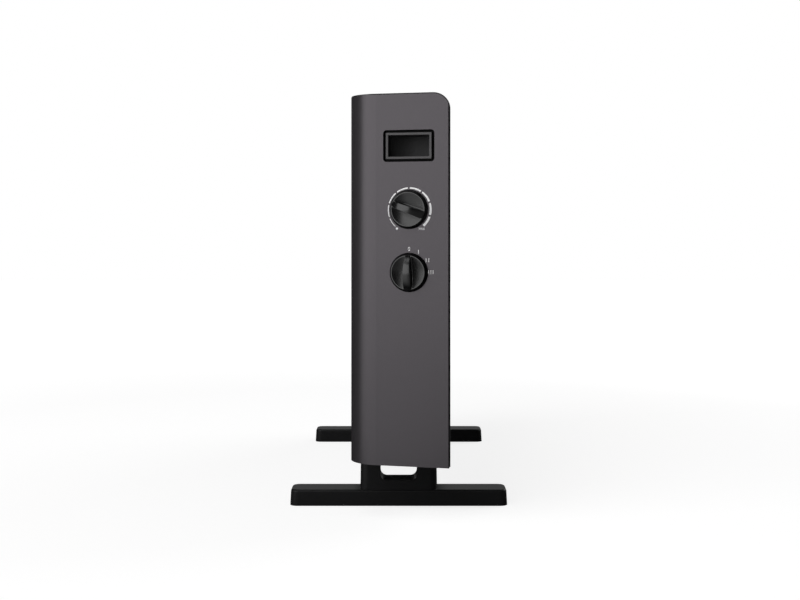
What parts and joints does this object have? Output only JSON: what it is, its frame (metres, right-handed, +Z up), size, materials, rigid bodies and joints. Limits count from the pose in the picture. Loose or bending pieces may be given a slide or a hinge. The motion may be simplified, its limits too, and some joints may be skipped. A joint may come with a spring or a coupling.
{
  "type": "convector heater",
  "caption": "Free-standing electric convector heater: flared sheet casing on moulded feet, thermostat and heat selector knobs on one end, recessed carrying handles, outlet grille on top.",
  "frame": {"origin": "on the floor, midway between the feet", "axes": "+X along the length towards the control end, -Y towards the front wall, +Z up"},
  "size_m": [0.6048, 0.2314, 0.4316],
  "materials": {
    "casing_paint": "satin graphite powder coat",
    "cover_paint": "satin black powder coat",
    "black_plastic": "satin black moulding",
    "knob_plastic": "satin black moulding",
    "frame_plastic": "satin graphite moulding",
    "zinc_steel": "zinc-plated",
    "bright_sheet": "bright",
    "fin_aluminium": "mill finish",
    "sheath_steel": "heat-tinted",
    "ceramic": "white ceramic",
    "brass": "bright",
    "bimetal": "rolled",
    "switch_plastic": "moulded",
    "black_lead": "satin",
    "brown_lead": "satin",
    "blue_lead": "satin",
    "earth_lead": "satin"
  },
  "bodies": {
    "body": {"front_casing": "casing_paint", "rear_cover": "cover_paint", "bottom_plate": "zinc_steel", "top_grille": "black_plastic", "handle_cup_control_end": "black_plastic", "handle_cup_far_end": "black_plastic", "handle_frame_control_end": "frame_plastic", "handle_frame_far_end": "frame_plastic", "foot_control_end": "black_plastic", "foot_far_end": "black_plastic", "thermostat_frame": "zinc_steel", "thermostat_base": "ceramic", "thermostat_bimetal": "bimetal", "thermostat_terminals": "brass", "selector_housing": "switch_plastic", "selector_back": "switch_plastic", "selector_terminals": "brass", "control_screws": "zinc_steel", "control_partition": "zinc_steel", "far_bracket": "zinc_steel", "heat_shield": "bright_sheet", "lower_element_sheath": "sheath_steel", "upper_element_sheath": "sheath_steel", "lower_element_fins": "fin_aluminium", "upper_element_fins": "fin_aluminium", "element_bushes": "ceramic", "element_studs": "zinc_steel", "element_link": "brass", "thermal_cutout": "ceramic", "cutout_blades": "brass", "terminal_block": "switch_plastic", "terminal_screws": "brass", "cord_gland": "black_plastic", "cover_screws": "zinc_steel", "plate_screws": "zinc_steel", "partition_screws": "zinc_steel", "foot_screws": "zinc_steel", "earth_tag": "brass", "earth_screw": "zinc_steel", "lead_grommets": "black_lead", "live_lead": "brown_lead", "thermostat_lead": "black_lead", "cutout_lead": "black_lead", "upper_element_lead": "black_lead", "lower_element_lead": "black_lead", "neutral_lead": "blue_lead", "earth_lead": "earth_lead", "shield_rivets": "fin_aluminium"},
    "thermostat_dial": {"thermostat_knob": "knob_plastic", "thermostat_spindle": "zinc_steel"},
    "selector_dial": {"selector_knob": "knob_plastic", "selector_spindle": "switch_plastic"}
  },
  "joints": [
    {"name": "thermostat_turn", "type": "hinge", "parent": "body", "child": "thermostat_dial", "pos_m": [0.29035, 0.0102, 0.3132], "axis": [-0.9724, 0.2334, 0], "range_deg": [-70, 210]},
    {"name": "selector_turn", "type": "hinge", "parent": "body", "child": "selector_dial", "pos_m": [0.29035, 0.0102, 0.2501], "axis": [-0.9724, 0.2334, 0], "range_deg": [0, 90]}
  ]
}
